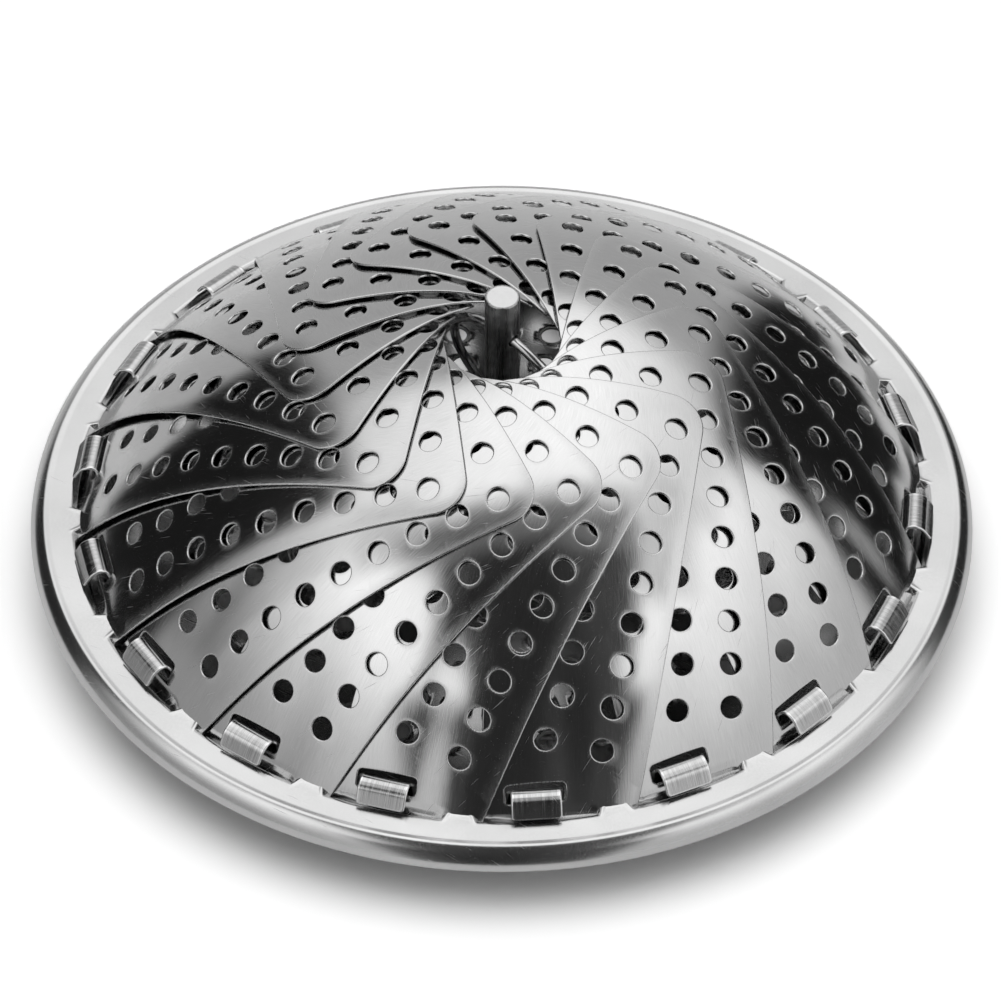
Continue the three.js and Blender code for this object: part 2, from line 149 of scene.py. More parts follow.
# Points of a plane: the radius times the cosine and the sine of the angle
def polar(radius, angle):
    return asPoints(radius * np.cos(angle), radius * np.sin(angle))


# The same in space, with a height
def upright(radius, angle, height):
    return asPoints(radius * np.cos(angle), radius * np.sin(angle), height)


# Angles that part a full turn evenly
def evenAngles(count):
    return np.arange(count) * 2 * np.pi / count


# Points on an arc from one angle to another, in degrees, without the last
def arc(centre, radius, start, end, steps):
    angle = np.radians(start + (end - start) * np.arange(steps) / steps)
    return np.asarray(centre) + polar(radius, angle)


# A closed loop of straight runs between corners
def closedLoop(corners, steps):
    return np.concatenate([run(a, b, steps) for a, b in zip(corners, [*corners[1:], corners[0]])])


# Places from mark to mark, with the given number of steps between each two
def staged(marks, steps):
    parts = [np.linspace(a, b, n + 1)[:-1] for a, b, n in zip(marks, marks[1:], steps)]
    return np.concatenate([*parts, marks[-1:]])


# A hole ring for each loop of a cell: evenly spaced angles, turned to face the loop's points
def holeRing(loops, centres, radius):
    even = evenAngles(loops.shape[1])
    toLoop = loops - centres[:, None]
    facing = np.arctan2(toLoop[..., 1], toLoop[..., 0]) - even
    turn = np.angle(np.exp(1j * facing).mean(1))[:, None]
    return centres[:, None] + polar(radius, even + turn)


# Rings between an inner and an outer loop, straight from point to point, at the given shares
def ringsBetween(inner, outer, shares):
    share = np.asarray(shares)[:, None, None]
    return inner[:, None] * (1 - share) + outer[:, None] * share


# Quads of a grid whose rows cross its columns counterclockwise, seen from the face's side
def gridQuads(rows, columns, closed):
    across = np.arange(columns if closed else columns - 1)
    first = np.arange(rows - 1)[:, None] * columns
    here, there = first + across, first + (across + 1) % columns
    return np.stack([here, here + columns, there + columns, there], -1).reshape(-1, 4)


# The outline of a grid, which keeps the grid on its left
def gridOutline(grid):
    return np.concatenate([grid[:-1, 0], grid[-1, :-1], grid[:0:-1, -1], grid[0, :0:-1]])


# Welding: points in the same tiny cell of space become one. Gives the number of each point that
# is kept, and for every point its place among the kept ones.
def weld(points, cell=1e-4, shift=0.317):
    keys = np.floor(points / cell + shift).astype(np.int64)
    _, first, back = np.unique(keys, axis=0, return_index=True, return_inverse=True)
    return first, back.reshape(-1)


# A flat sheet as points (across, along, height over the middle), from patches and edge loops.
# Both faces carry every patch, and each edge is two quarter rounds carried along its loop, which
# keeps the sheet on its left. They meet in a half round, or leave a flat between them.
def sheetPattern(patches, loops, half, rimSteps, edge=None):
    points, normals, marks, quads = [], [], [], []

    # A grid's points, normals and marks join the lists, and its quads count from the points before
    def add(grid, normal, mark, closed, flip):
        copies, rows, columns = grid.shape[:3]
        start = sum(len(part) for part in points)
        block = gridQuads(rows, columns, closed)
        block = block[:, ::-1] if flip else block
        offset = start + np.arange(copies)[:, None, None] * rows * columns
        quads.append((block + offset).reshape(-1, 4))
        points.append(grid.reshape(-1, 3))
        normals.append(np.broadcast_to(normal, grid.shape).reshape(-1, 3))
        marks.append(np.broadcast_to(mark, grid.shape[:3]).reshape(-1))

    for patch, closed in patches:
        for side in (1, -1):
            level = np.full(patch.shape[:3] + (1,), side * half)
            add(np.concatenate([patch, level], -1), (0, 0, side), min(side, 0), closed, side < 0)
    edge = half if edge is None else edge
    quarter = np.linspace(np.pi / 2, 0, rimSteps // 2 + 1)
    angle = np.concatenate([quarter, -quarter[::-1][edge == half:]])[:, None, None]
    wall = np.where(np.arange(len(angle)) < len(quarter), half - edge, edge - half)[:, None, None]
    for loop in loops:
        around = np.roll(loop, -1, 0) - np.roll(loop, 1, 0)
        around = around / np.linalg.norm(around, axis=1, keepdims=True)
        outward = np.stack([around[:, 1], -around[:, 0], 0 * around[:, 0]], -1)
        up = np.array([0, 0, 1])
        bulge = outward * np.cos(angle) + up * np.sin(angle)
        flat = np.concatenate([loop, 0 * loop[:, :1]], -1)
        add((flat + edge * bulge + up * wall)[None], bulge[None], 1.0, True, False)

    points = np.concatenate(points)
    first, back = weld(points)
    strongest = np.full(len(first), -1.0)
    np.maximum.at(strongest, back, np.concatenate(marks))
    return {
        "points": points[first],
        "normals": np.concatenate(normals)[first],
        "marks": strongest,
        "faces": back[np.concatenate(quads)],
    }


# The flat sheet laid on a surface: each point goes to the surface and then along its normal by
# the point's height. The normal is the cross product of the surface's two slopes.
def drape(pattern, surface):
    across, along, height = pattern["points"].T
    probe = 0.01
    slopeAcross = surface(across + probe, along) - surface(across - probe, along)
    slopeAlong = surface(across, along + probe) - surface(across, along - probe)
    slopeAcross /= np.linalg.norm(slopeAcross, axis=1, keepdims=True)
    normal = np.cross(slopeAcross, slopeAlong)
    normal /= np.linalg.norm(normal, axis=1, keepdims=True)
    sideways = np.cross(normal, slopeAcross)
    inSheet = pattern["normals"]
    return {
        "points": surface(across, along) + height[:, None] * normal,
        "normals": inSheet[:, :1] * slopeAcross + inSheet[:, 1:2] * sideways + inSheet[:, 2:] * normal,
        "marks": pattern["marks"],
        "faces": pattern["faces"],
        "flat": pattern["points"][:, :2],
    }


# A shape set on axes of its own: its X, Y and Z run along three directions from an origin
def placed(shape, axes, origin=(0, 0, 0)):
    axes = np.asarray(axes, float)
    return {
        **shape,
        "points": np.asarray(origin) + shape["points"] @ axes,
        "normals": shape["normals"] @ axes,
    }


# A shape turned by an angle about the post's axis
def turned(shape, angle):
    cosine, sine = math.cos(angle), math.sin(angle)
    return placed(shape, ((cosine, sine, 0), (-sine, cosine, 0), (0, 0, 1)))


# Several shapes as one
def joined(shapes):
    sizes = np.cumsum([0] + [len(shape["points"]) for shape in shapes])
    merged = {
        key: np.concatenate([shape[key] for shape in shapes])
        for key in ("points", "normals", "marks", "flat")
    }
    merged["faces"] = np.concatenate([shape["faces"] + size for shape, size in zip(shapes, sizes)])
    return merged


# A shape becomes a piece: points to metres, the flat pattern to its UV map in centimetres, and
# the marks, 1 on rims and -1 on undersides, to an attribute
def makePiece(name, shape, finish, body, *replaced):
    mesh = bpy.data.meshes.new(name)
    faces = shape["faces"]
    mesh.vertices.add(len(shape["points"]))
    mesh.vertices.foreach_set("co", (shape["points"] * mm).astype(np.float32).ravel())
    mesh.loops.add(faces.size)
    mesh.loops.foreach_set("vertex_index", faces.astype(np.int32).ravel())
    mesh.polygons.add(len(faces))
    mesh.polygons.foreach_set("loop_start", np.arange(0, faces.size, 4, dtype=np.int32))
    mesh.update(calc_edges=True)
    mesh.polygons.foreach_set("use_smooth", np.ones(len(faces), bool))
    layer = mesh.uv_layers.new(name="sheet")
    layer.uv.foreach_set("vector", (shape["flat"][faces.ravel()] / cm).astype(np.float32).ravel())
    rim = mesh.attributes.new("rim", "FLOAT", "POINT")
    rim.data.foreach_set("value", shape["marks"].astype(np.float32))
    mesh.normals_split_custom_set_from_vertices(shape["normals"].tolist())
    mesh.materials.append(materials[finish])
    piece = bpy.data.objects.new(name, mesh)
    bpy.context.scene.collection.objects.link(piece)
    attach(piece, body)
    if replaced:
        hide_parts(*replaced)


# Materials

# Helpers for a node tree: a value that is a socket is linked, and any other is set
def treeTools(tree):
    def put(value, socket):
        if isinstance(value, bpy.types.NodeSocket):
            tree.links.new(value, socket)
        else:
            socket.default_value = value

    # A new node with its inputs and settings, given back as one of its outputs
    def node(kind, output, inputs=(), **values):
        made = tree.nodes.new("ShaderNode" + kind)
        for key, value in values.items():
            setattr(made, key, value)
        for key, value in dict(inputs).items():
            put(value, made.inputs[key])
        return made.outputs[output]

    # One operation on values
    def maths(operation, *values):
        return node("Math", "Value", enumerate(values), operation=operation)

    # From one range to another in proportion, held at the ends
    def spread(value, low, high, toLow=0.0, toHigh=1.0, kind="LINEAR"):
        ends = {"Value": value, "From Min": low, "From Max": high, "To Min": toLow, "To Max": toHigh}
        return node("MapRange", "Result", ends, interpolation_type=kind)

    # The same with a smooth step
    def step(*values):
        return spread(*values, kind="SMOOTHSTEP")

    # The first value at share 0, the second at share 1
    def mixed(share, first, second):
        return node("Mix", "Result", {"Factor": share, "A": first, "B": second}, data_type="FLOAT")

    def greyOf(tone):
        return node("CombineColor", "Color", {"Red": tone, "Green": tone, "Blue": tone})

    return put, node, maths, spread, step, mixed, greyOf


# Polished sheet: a metal whose tone, roughness and height follow fine brushing, with soft dents.
# Scratches and pits, where a noise passes a level, are rougher, so they catch light in the dark.
# The rims of edges and holes are duller, and their tone is raised as a painted highlight; undersides are
# darkened as painted shade.
def sheetMetal(name, s):
    material = bpy.data.materials.new(name)
    material.use_nodes = True
    put, node, maths, spread, _, mixed, greyOf = treeTools(material.node_tree)

    def noise(vector, scale, detail):
        return node("TexNoise", "Fac", {"Vector": vector, "Scale": scale, "Detail": detail})

    def stretched(vector, scale, turn=0):
        return node("Mapping", "Vector", {"Vector": vector, "Scale": scale, "Rotation": (0, 0, turn)})

    flat, place = node("TexCoord", s["flow"]), node("TexCoord", "Object")
    mark = node("Attribute", "Fac", attribute_name="rim")
    rim = maths("MAXIMUM", mark, 0.0)

    brushed = noise(stretched(flat, s["brush"]), 1.0, s["detail"])
    tone = spread(noise(place, s["cloud"], s["detail"]), *s["toneRange"], s["dark"], s["light"])
    tone = maths("ADD", tone, spread(brushed, *s["toneRange"], -s["streak"], s["streak"]))
    # Painted highlight: the rims of edges and holes take a brighter tone
    tone = mixed(rim, tone, s["rimHighlightTone"])
    # Painted shade: undersides are darkened by a share of their tone
    tone = maths("MULTIPLY", tone, spread(mark, -1, 0, s["underShadeShare"], 1))

    rough = spread(brushed, *s["roughRange"], *s["roughness"])
    rough = maths("ADD", rough, maths("MULTIPLY", rim, s["rimRough"]))
    crossed = stretched(stretched(flat, (1, 1, 1), s["scratchTurn"]), s["scratches"])
    scratched = spread(noise(crossed, 1.0, 1.0), *s["scratchLevels"])
    pitted = spread(noise(flat, s["pit"], 1.0), *s["pitLevels"])
    worn = maths("MULTIPLY", maths("MAXIMUM", scratched, pitted), s["wornRough"])

    dents = maths("MULTIPLY", noise(place, s["dent"], 1.0), s["dentHeight"])
    height = maths("ADD", maths("MULTIPLY", brushed, s["brushHeight"]), dents)
    shader = material.node_tree.nodes["Principled BSDF"].inputs
    put(1, shader["Metallic"])
    put(greyOf(tone), shader["Base Color"])
    put(maths("ADD", rough, worn), shader["Roughness"])
    put(node("Bump", "Normal", {"Strength": 1, "Distance": mm, "Height": height}), shader["Normal"])
    return material


# What the finishes share, and what each has of its own
steel = {
    "flow": "UV", "detail": 3.0, "streak": 0.03, "cloud": 60, "rimHighlightTone": 0.8, "underShadeShare": 1,
    "rimRough": 0.1, "wornRough": 0.2, "toneRange": (0.3, 0.7), "roughRange": (0.25, 0.75),
    "scratchTurn": 0.6, "scratches": (48, 1.4, 1), "scratchLevels": (0.71, 0.77), "pitLevels": (0.74, 0.8),
}
finishes = {
    "petal": {
        **steel, "slot": "petal_steel", "brush": (70, 3, 1), "dark": 0.56, "light": 0.64, "rimHighlightTone": 0.62,
        "underShadeShare": 0.5, "roughness": (0.07, 0.16), "rimRough": 0.15, "pit": 70, "wornRough": 0.3,
        "brushHeight": 0.0025, "dent": 40, "dentHeight": 0.1,
    },
    "dish": {
        **steel, "slot": "dish_steel", "brush": (40, 40, 1), "dark": 0.54, "light": 0.62, "rimHighlightTone": 0.6,
        "underShadeShare": 0.8, "roughness": (0.16, 0.26), "pit": 60,
        "brushHeight": 0.002, "dent": 30, "dentHeight": 0.05,
    },
    "hook": {
        **steel, "slot": "dish_steel", "brush": (60, 2, 1), "streak": 0.14, "cloud": 90, "dark": 0.58,
        "light": 0.66, "underShadeShare": 0.8, "roughness": (0.1, 0.26), "pit": 80,
        "brushHeight": 0.006, "dent": 120, "dentHeight": 0.02,
    },
    "post": {
        **steel, "slot": "post_steel", "flow": "Object", "brush": (2600, 2600, 60), "streak": 0.08,
        "cloud": 700, "dark": 0.2, "light": 0.38, "roughness": (0.2, 0.36), "rimRough": 0.2,
        "pit": 2200, "brushHeight": 0.02, "dent": 700, "dentHeight": 0.03,
    },
    "wire": {
        **steel, "slot": "wire_steel", "flow": "Object", "brush": (500, 500, 500), "cloud": 200,
        "dark": 0.54, "light": 0.62, "roughness": (0.14, 0.24), "pit": 900,
        "brushHeight": 0.004, "dent": 300, "dentHeight": 0.01,
    },
    "leg": {
        **steel, "slot": "leg_steel", "brush": (60, 3, 1), "streak": 0.05, "cloud": 90, "dark": 0.5,
        "light": 0.58, "rimHighlightTone": 0.7, "roughness": (0.2, 0.34), "pit": 60,
        "brushHeight": 0.006, "dent": 100, "dentHeight": 0.03,
    },
    "fixing": {
        **steel, "slot": "fixing_steel", "flow": "Object", "brush": (700, 700, 700), "streak": 0.04,
        "cloud": 250, "dark": 0.46, "light": 0.56, "rimHighlightTone": 0.66, "roughness": (0.26, 0.4), "pit": 900,
        "brushHeight": 0.012, "dent": 500, "dentHeight": 0.01,
    },
}
materials = {name: sheetMetal(name + " steel", settings) for name, settings in finishes.items()}
print("materials made")

# Petals

petal = {
    "sheet": 0.4,
    "gap": 0.22,
    "domeMargin": 13.5,
    "iris": 8.95,
    "strip": 1.6,
    "windowHalf": 4.6,
    "windowLength": 2.85,
    "windowRound": 0.7,
    "stepInset": 9.3,
    "stepRise": 1.6,
    "stepRound": 0.7,
    "bumpWidth": 5.04,
    "rootOverlap": 0.8,
    "facet": 1.3,
    "tongueDrop": 0.25,
    "tongueAlong": (-0.4, 1.2),
    "tipClockwise": 2.5,
    "tipCounter": 31.4,
    "tipSlope": 0.13,
    "tipRound": 4.6,
    "edgeLift": 0.8,
    "liftAcross": (4, 12),
    "liftFade": 31,
    "bow": 0.75,
    "bowAcross": 3,
    "bowAlong": (22, 24, 56),
    "climbShare": 1.35,
    "holeRadius": 1.7,
    "rowPitch": 6.37,
    "columnPitch": 8.05,
    "firstRow": 8.75,
    "rootMargin": 7.4,
    "tipMargin": 3.6,
    "leanShare": 0.275,
    "narrowShare": 0.15,
    "thirdColumnFrom": 2,
    "fourthColumnHoles": 2,
    "cellSteps": 8,
    "facetSteps": 4,
    "stripSteps": 12,
    "bendSteps": 5,
    "ledgeSteps": 3,
    "flankSteps": 9,
    "cornerSteps": 4,
    "windowSteps": (20, 23, 32, 9),
    "ringShares": (0, 0.2, 0.55, 1),
    "rootShares": (0, 0.05, 0.15, 0.3, 0.45, 0.6, 0.72, 0.84, 0.93, 1),
    "rimSteps": 6,
}
domeRadius = hingeRadius + petal["domeMargin"]
hingeSlope = math.asin(hingeRadius / domeRadius)
domeDrop = domeRadius * math.cos(hingeSlope)
petalLength = domeRadius * (hingeSlope - math.asin(petal["iris"] / domeRadius))
rootClockwise = hingePitch - petal["stepInset"] - petal["bumpWidth"]
rootCounter = hingePitch - rootClockwise + petal["rootOverlap"]
climb = petal["climbShare"] * (petal["sheet"] + petal["gap"]) / sector


# Height of the dome over its floor, plus a climb with the bearing, plus a lift of the
# counterclockwise root edge and a bow of that edge beyond it, less the drop of the tongue between
# two slanted facets
def petalSurface(across, along):
    outward = domeRadius * np.sin(hingeSlope - along / domeRadius)
    dome = np.sqrt(domeRadius ** 2 - across ** 2 - outward ** 2) - domeDrop
    lift = smooth(across, *petal["liftAcross"]) * (1 - smooth(along, 0, petal["liftFade"]))
    full, high, gone = petal["bowAlong"]
    counterEdge = rootCounter + (petal["tipCounter"] - rootCounter) * along / petalLength
    bow = smooth(across, petal["bowAcross"], counterEdge)
    bow = bow * smooth(along, 0, full) * (1 - smooth(along, high, gone))
    inside = smooth(across, -rootClockwise, petal["facet"] - rootClockwise)
    inside = inside * (1 - smooth(across, petal["stepInset"] - petal["facet"], petal["stepInset"]))
    tongue = inside * (1 - smooth(along, *petal["tongueAlong"]))
    height = dome + climb * np.arctan2(across, outward) - petal["tongueDrop"] * tongue
    height = height + petal["edgeLift"] * lift + petal["bow"] * bow
    return asPoints(outward, across, hingeHeight + height)


# The flat petal: cells between straight column lines and leaning rows, with a ring of points
# round each hole, and one more patch round the window for the hook
def petalPattern(s):
    half = s["sheet"] / 2
    side = s["cellSteps"]

    # A place across that goes evenly from its value at the root to its value at the tip
    def edge(root, tip):
        return lambda along: root + (tip - root) * along / petalLength

    clockwise = edge(-rootClockwise + half, -s["tipClockwise"] + half)
    counter = edge(rootCounter - half, s["tipCounter"] - half)
    margin = edge(s["rootMargin"], s["tipMargin"])

    # A column line, so many columns clockwise of the free edge's own column
    def behind(columns):
        return lambda along: counter(along) + half - margin(along) - columns * s["columnPitch"]

    firstColumn = behind(0)

    # The last line keeps its distance from the clockwise edge where the petal grows narrow
    def lastLine(along):
        low, high = clockwise(along), behind(1.5)(along)
        return max(behind(2.5)(along), low + (high - low) * s["narrowShare"])

    lines = [clockwise, lastLine, behind(1.5), behind(0.5), counter]
    rows = int((petalLength - s["firstRow"]) / s["rowPitch"])

    # Where a line meets a row: the row leans with the distance from the first column, and the
    # last row is the tip's slanted edge
    def crossing(line, row):
        middle = s["firstRow"] + (row - 0.5) * s["rowPitch"]
        along = middle + s["leanShare"] * (firstColumn(middle) - line(middle))
        if row == rows:
            along = petalLength - half - s["tipSlope"] * line(along)
        return line(along), along

    grid = np.array([[crossing(line, row) for row in range(rows + 1)] for line in lines])

    # The rounded corner at the tip: points near it move out to the arc in step
    corner = grid[-1, -1]
    toCorner, toNext = corner - grid[-1, -2], grid[-2, -1] - corner
    upEdge, tipLine = toCorner / np.linalg.norm(toCorner), toNext / np.linalg.norm(toNext)
    turn = math.acos(float(upEdge @ tipLine))
    setback = s["tipRound"] * math.tan(turn / 2)
    normal = np.array([upEdge[1], -upEdge[0]])
    centre = corner - upEdge * setback - normal * s["tipRound"]

    def rounded(points, after):
        distance = np.linalg.norm(points - corner, axis=1)
        share = (1 + (distance if after else -distance) / setback) / 2
        onArc = centre + polar(s["tipRound"], bearing(normal) + turn * share)
        return np.where((distance < setback)[:, None], onArc, points)

    # Evenly spaced points on the straight runs from place to place, without the last
    def edgeRun(places):
        return np.concatenate([run(a, b, side) for a, b in zip(places, places[1:])])

    loops, centres, plain = [], [], []
    last = len(lines) - 2
    for row in range(rows):
        for column in range(last + 1):
            a, b = grid[column, row], grid[column + 1, row]
            c, d = grid[column + 1, row + 1], grid[column, row + 1]
            back = last - column
            if row < (0, 0, s["thirdColumnFrom"], rows - s["fourthColumnHoles"])[back]:
                share = np.arange(side + 1)[:, None] / side
                lower, upper = a + (b - a) * share, d + (c - d) * share
                plain.append(lower[:, None] + (upper - lower)[:, None] * share)
                continue
            along = s["firstRow"] + row * s["rowPitch"] + back * s["leanShare"] * s["columnPitch"]
            near = s["tipMargin"] * s["leanShare"] if row == 0 and back == 1 else 0
            loops.append(np.concatenate([
                run(a, b, side), rounded(run(b, c, side), False),
                rounded(run(c, d, side), True), run(d, a, side)]))
            centres.append((firstColumn(along) - back * s["columnPitch"] - near, along))

    loops, centres = np.array(loops), np.array(centres)
    rings = holeRing(loops, centres, s["holeRadius"] + half)
    patches = [(ringsBetween(rings, loops, s["ringShares"]), True), (np.array(plain), False)]

    # Root: the outline with its rounded step, and the window's rounded corners facing it
    low, high = half - s["strip"], s["stepRise"] - s["strip"] + half
    stepSide = s["stepInset"] - half
    outer, inner = s["stepRound"] - half, s["stepRound"] + half
    rootStart, rootEnd = -rootClockwise + half, stepSide - outer
    facetEnds = rootStart + s["facet"], rootEnd - s["facet"]
    rootRun = [
        run((rootStart, low), (facetEnds[0], low), s["facetSteps"]),
        run((facetEnds[0], low), (facetEnds[1], low), s["stripSteps"]),
        run((facetEnds[1], low), (rootEnd, low), s["facetSteps"]),
        arc((rootEnd, low + outer), outer, -90, 0, s["bendSteps"]),
        run((stepSide, low + outer), (stepSide, high - inner), 1),
        arc((stepSide + inner, high - inner), inner, 180, 90, s["bendSteps"]),
        run((stepSide + inner, high), (rootCounter - half, high), s["ledgeSteps"]),
        run((rootCounter - half, high), grid[-1, 0], s["flankSteps"]),
    ]
    lastRun = run(grid[0, 0], (rootStart, low), s["flankSteps"])
    around = np.concatenate([*rootRun, edgeRun(grid[::-1, 0]), lastRun])

    # The window, side by side: each from the middle of one rounded corner to that of the next
    bend, corners = s["windowRound"] + half, s["cornerSteps"]
    wide = s["windowHalf"] + half - bend
    bottom, top = s["strip"] - half + bend, s["strip"] + s["windowLength"] + half - bend
    bends = np.array([(-wide, bottom), (wide, bottom), (wide, top), (-wide, top)])
    window = []
    for number, steps in enumerate(s["windowSteps"]):
        first, second, facing = bends[number], bends[(number + 1) % 4], 90 * (number - 1)
        outwards = polar(bend, math.radians(facing))
        window += [
            arc(first, bend, facing - 45, facing, corners),
            run(first + outwards, second + outwards, steps - 2 * corners),
            arc(second, bend, facing, facing + 45, corners),
        ]
    window = np.concatenate(window)
    patches.append((ringsBetween(window[None], around[None], s["rootShares"]), True))
    up, tip = rounded(edgeRun(grid[-1]), False), rounded(edgeRun(grid[::-1, -1]), True)
    outline = np.concatenate([*rootRun, up, tip, edgeRun(grid[0, ::-1]), lastRun])
    edges = [outline, window[::-1], *[ring[::-1] for ring in rings]]
    return sheetPattern(patches, edges, half, s["rimSteps"])


petalShape = drape(petalPattern(petal), petalSurface)
for name in petalBodies:
    turn = bearing(joints[name + "_fold"]["pos_m"])
    makePiece(name + "_sheet", turned(petalShape, turn), "petal", name, name)
print("petals made:", petalCount, "with", len(petalShape["faces"]), "faces each")

# Dish

dish = {
    "sheet": 0.5,
    "hole": 2.2,
    "plateRadius": 57,
    "plateHeight": 4.65,
    "kneeShare": 0.3,
    "apronClearance": 1.5,
    "cornerRun": 0.6,
    "landRaise": 0.2,
    "lipRun": 0.8,
    "lipRise": 0.1,
    "rollRadius": 3.7,
    "rollStart": 68,
    "rollEnd": 6,
    "curlRadius": 0.8,
    "curlTurn": 200,
    "bumpDepth": 2.5,
    "bumpRise": 0.3,
    "bumpFlare": 1.5,
    "bumpEarly": 0.3,
    "bumpFade": 3.0,
    "riseFade": 1.0,
    "softness": 0.5,
    "holeRings": ((45.6, 36), (38.6, 36), (31.6, 36), (24.6, 18), (17.6, 18)),
    "holeRadius": 1.7,
    "ringPitch": 7,
    "collarRise": 0.35,
    "collarRun": 0.9,
    "rollSteps": 60,
    "curlSteps": 70,
    "rimSteps": 4,
    "cellSteps": 8,
    "ringShares": (0, 0.25, 0.6, 1),
    "rowSteps": (3, 4, 4, 5, 7, 6, 9, 12, 28),
    "centreRows": 5,
    "placesPitch": 23.04,
    "places": (
        0, 2, 4, 6, 7.8, 8.8, 9.2, 9.5, 9.8, 10.1, 10.4, 10.9,
        11.52, 12.4, 13.0, 13.4, 13.7, 14.0, 14.3, 14.7, 15.8, 17.4, 19.2, 21.1),
}


# A polyline resampled at even steps and averaged over a short window, which rounds its corners.
# It comes back as the distances, the points there, and the distance of each corner.
def softened(corners, window):
    step = 0.02
    corners = np.asarray(corners, float)
    reach = np.concatenate([[0], np.cumsum(np.linalg.norm(np.diff(corners, axis=0), axis=1))])
    distance = np.arange(0, reach[-1], step)
    line = np.stack([np.interp(distance, reach, corners[:, k]) for k in (0, 1)], -1)
    count = int(window / step / 2)
    weights = np.hanning(2 * count + 3)[1:-1]
    weights /= weights.sum()
    padded = np.concatenate([
        line[0] + (line[0] - line[count:0:-1]), line, line[-1] + (line[-1] - line[-2:-2 - count:-1])])
    smoothLine = np.stack([np.convolve(padded[:, k], weights, "valid") for k in (0, 1)], -1)
    return distance, smoothLine, reach


# The two coordinates of a line at places along it
def follow(along, distance, line):
    return np.interp(along, distance, line[:, 0]), np.interp(along, distance, line[:, 1])


# The rim's radius is the box's, rounded down to a hundredth
rimRadius = math.floor(min(cadBox[1].x, cadBox[1].y) / mm * 100) / 100
hingeOverPlate = hingeHeight - dish["plateHeight"]
landHeight = hingeOverPlate + dish["landRaise"] - dish["sheet"] / 2
wallRadius = hingeRadius + petal["strip"]
apronHeight = hingeOverPlate - 2 * petal["strip"] - dish["apronClearance"]
rollMiddle, curlMiddle = (dish[key] - dish["sheet"] / 2 for key in ("rollRadius", "curlRadius"))
rollStart, rollEnd = dish["rollStart"], dish["rollEnd"]
toCurl = polar(rollMiddle - curlMiddle, math.radians(rollEnd))
creaseHeight = landHeight + dish["lipRise"]
rollCentre = np.array([
    rimRadius - dish["curlRadius"] - toCurl[0],
    creaseHeight - rollMiddle * math.sin(math.radians(rollStart))])
beadArc = np.concatenate([
    arc(rollCentre, rollMiddle, rollStart, rollEnd, dish["rollSteps"]),
    arc(rollCentre + toCurl, curlMiddle, rollEnd, rollEnd - dish["curlTurn"], dish["curlSteps"])])
dishCorners = [
    (dish["hole"], 0),
    (dish["plateRadius"], 0),
    ((dish["plateRadius"] + wallRadius) / 2, dish["kneeShare"] * apronHeight),
    (wallRadius, apronHeight),
    (wallRadius, apronHeight + dish["cornerRun"]),
    (wallRadius, landHeight - dish["cornerRun"]),
    (wallRadius + dish["cornerRun"], landHeight),
    (beadArc[0, 0] - dish["lipRun"], landHeight),
]
dishDistance, dishLine, dishReach = softened([*dishCorners, *beadArc], dish["softness"])
dishDistance, dishReach = dishDistance + dish["hole"], dishReach + dish["hole"]
wallFoot, wallTop, landStart = dishReach[3], dishReach[5], dishReach[6]


# The section carried round the axis. The flat pattern's radius is the distance along the
# section. Each sector has a bump pressed in between two petal roots, and each hole a collar.
def dishSurface(x, y):
    turn, distance = np.arctan2(y, x), np.hypot(x, y)
    radius, height = follow(distance, dishDistance, dishLine)
    across = (turn % sector) / sector * hingePitch
    flare = dish["bumpFlare"]
    start = petal["stepInset"] - dish["bumpEarly"]
    end = start + petal["bumpWidth"] + dish["bumpEarly"]
    bump = smooth(across, start, start + flare) * (1 - smooth(across, end - flare, end))
    bump = bump * smooth(distance, wallFoot, wallTop)
    bump = bump * (1 - smooth(distance, landStart, landStart + dish["bumpFade"]))
    radius = radius - dish["bumpDepth"] * bump
    fade = 1 - smooth(distance, landStart, landStart + dish["riseFade"])
    height = height + dish["bumpRise"] * bump * fade
    for ringRadius, holes in dish["holeRings"]:
        pitch = 2 * np.pi / holes
        aside = ((turn / pitch) % 1 - 0.5) * pitch * ringRadius
        reach = np.hypot(distance - ringRadius, aside) - dish["holeRadius"]
        height = height + dish["collarRise"] * (1 - smooth(reach, 0, dish["collarRun"]))
    return upright(radius, turn, dish["plateHeight"] + height)


# The flat dish: rings of cells with a hole each, and plain rings of quads inside and outside. The
# outer side of a cell has the points of what lies beyond it.
def dishPattern(s):
    half, side = s["sheet"] / 2, s["cellSteps"]
    places = np.array(s["places"]) / s["placesPitch"] * sector
    patches, edges = [], []
    for number, (ringRadius, holes) in enumerate(s["holeRings"]):
        low, high = ringRadius - s["ringPitch"] / 2, ringRadius + s["ringPitch"] / 2
        pitch = 2 * np.pi / holes
        loops = []
        for cell in range(holes):
            start = cell * pitch
            if number:
                steps = side * s["holeRings"][number - 1][1] // holes
                outside = start + pitch * np.arange(steps) / steps
            else:
                outside = places.reshape(2, -1)[cell % 2] + (cell // 2) * sector
            loops.append(np.concatenate([
                run(polar(low, start), polar(high, start), side),
                polar(high, outside),
                run(polar(high, start + pitch), polar(low, start + pitch), side),
                polar(low, start + pitch * (1 - np.arange(side) / side)),
            ]))
        loops = np.array(loops)
        centres = polar(ringRadius, (np.arange(holes) + 0.5) * pitch)
        rings = holeRing(loops, centres, s["holeRadius"] + half)
        patches.append((ringsBetween(rings, loops, s["ringShares"]), True))
        edges += [ring[::-1] for ring in rings]

    around = np.concatenate([places + k * sector for k in range(petalCount)])
    start, end = s["holeRings"][0][0] + s["ringPitch"] / 2, dishDistance[-1] - half
    beforeBead, afterBend = dishReach[7] - s["cornerRun"], dishReach[8] + s["cornerRun"]
    rows = staged([start, *dishReach[1:7], beforeBead, afterBend, end], s["rowSteps"])
    outer = polar(rows[:, None], around)
    centreRows = np.linspace(s["hole"] + half, low, s["centreRows"])
    centre = polar(centreRows[:, None], evenAngles(holes * side))
    patches += [(outer[None], True), (centre[None], True)]
    edges += [outer[-1], centre[0][::-1]]
    return sheetPattern(patches, edges, half, s["rimSteps"])


